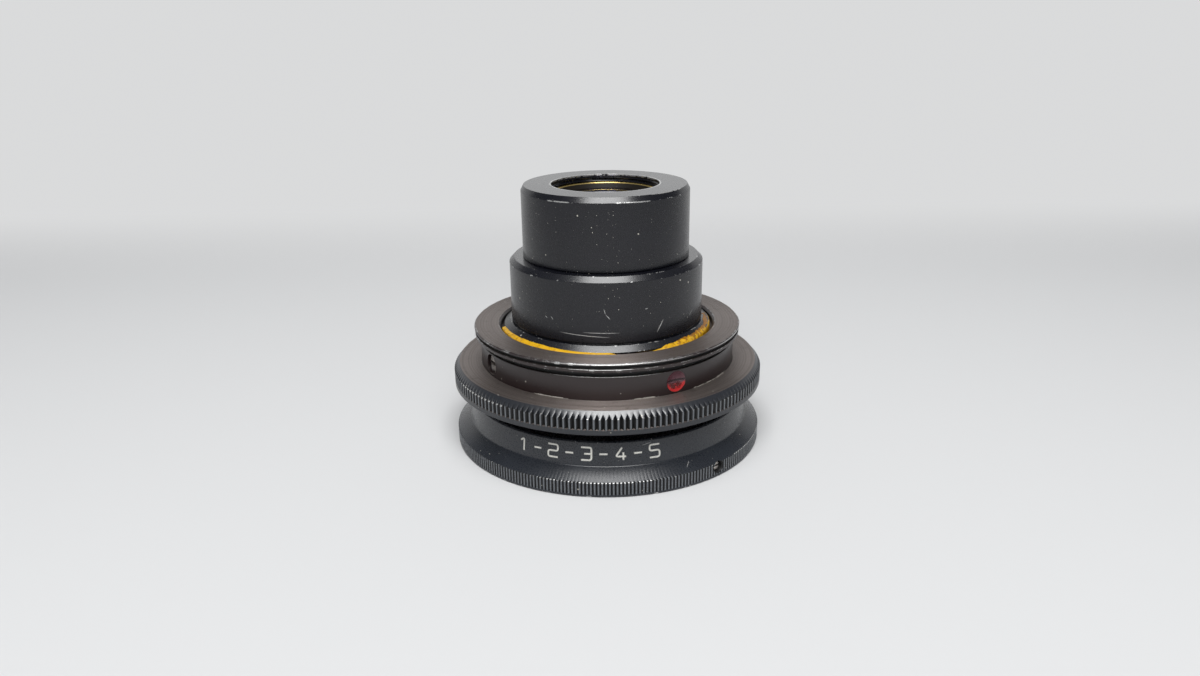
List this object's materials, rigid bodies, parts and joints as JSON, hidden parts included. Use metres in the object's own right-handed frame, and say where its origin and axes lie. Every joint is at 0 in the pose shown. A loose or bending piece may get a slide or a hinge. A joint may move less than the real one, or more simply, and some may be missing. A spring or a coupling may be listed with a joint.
{
  "type": "macro lens",
  "caption": "Fixed-stop macro lens with a stepped round barrel and a knurled front ring, in a rotatable camera-side adapter with radial clamp screws.",
  "frame": {"origin": "centre of the front ring's foot, on the optical axis", "axes": "+Z along the optical axis from the front ring to the rear opening; -Y is the side with the engraved band's middle"},
  "size_m": [0.046, 0.046, 0.0379],
  "materials": {
    "barrel_enamel": "satin black enamel on aluminium, with specks and scratches",
    "ring_enamel": "satin black enamel on aluminium",
    "adapter_anodised": "brown-black anodised, chipped at the edges",
    "cell_black": "matt black anodised",
    "blackened_brass": "blackened brass, bare on worn faces",
    "screw_steel": "bare turned steel",
    "coated_glass": "polished, coated",
    "red_varnish": "clear red varnish",
    "amber_adhesive": "clear amber adhesive"
  },
  "bodies": {
    "lens": {"name_ring": "ring_enamel", "name_ring_screw": "screw_steel", "main_barrel": "barrel_enamel", "aperture_stop": "cell_black", "front_cell": "cell_black", "front_element_outer": "coated_glass", "front_element_inner": "coated_glass", "front_inner_ring": "blackened_brass", "front_retaining_ring": "blackened_brass", "rear_cell": "barrel_enamel", "rear_element_outer": "coated_glass", "rear_retaining_ring": "blackened_brass", "rear_crown_element": "coated_glass", "rear_flint_element": "coated_glass", "rear_inner_ring": "blackened_brass", "threaded_insert": "adapter_anodised", "adhesive_bead": "amber_adhesive"},
    "adapter": {"mount_shell": "adapter_anodised", "knurled_ring": "adapter_anodised", "clamp_screw_1": "screw_steel", "clamp_screw_2": "screw_steel", "clamp_screw_3": "screw_steel", "clamp_screw_4": "screw_steel", "index_seal": "red_varnish"}
  },
  "joints": [
    {"name": "adapter_turn", "type": "hinge", "parent": "lens", "child": "adapter", "pos_m": [0, 0, 0.0138], "axis": [0, 0, 1], "continuous": true}
  ]
}
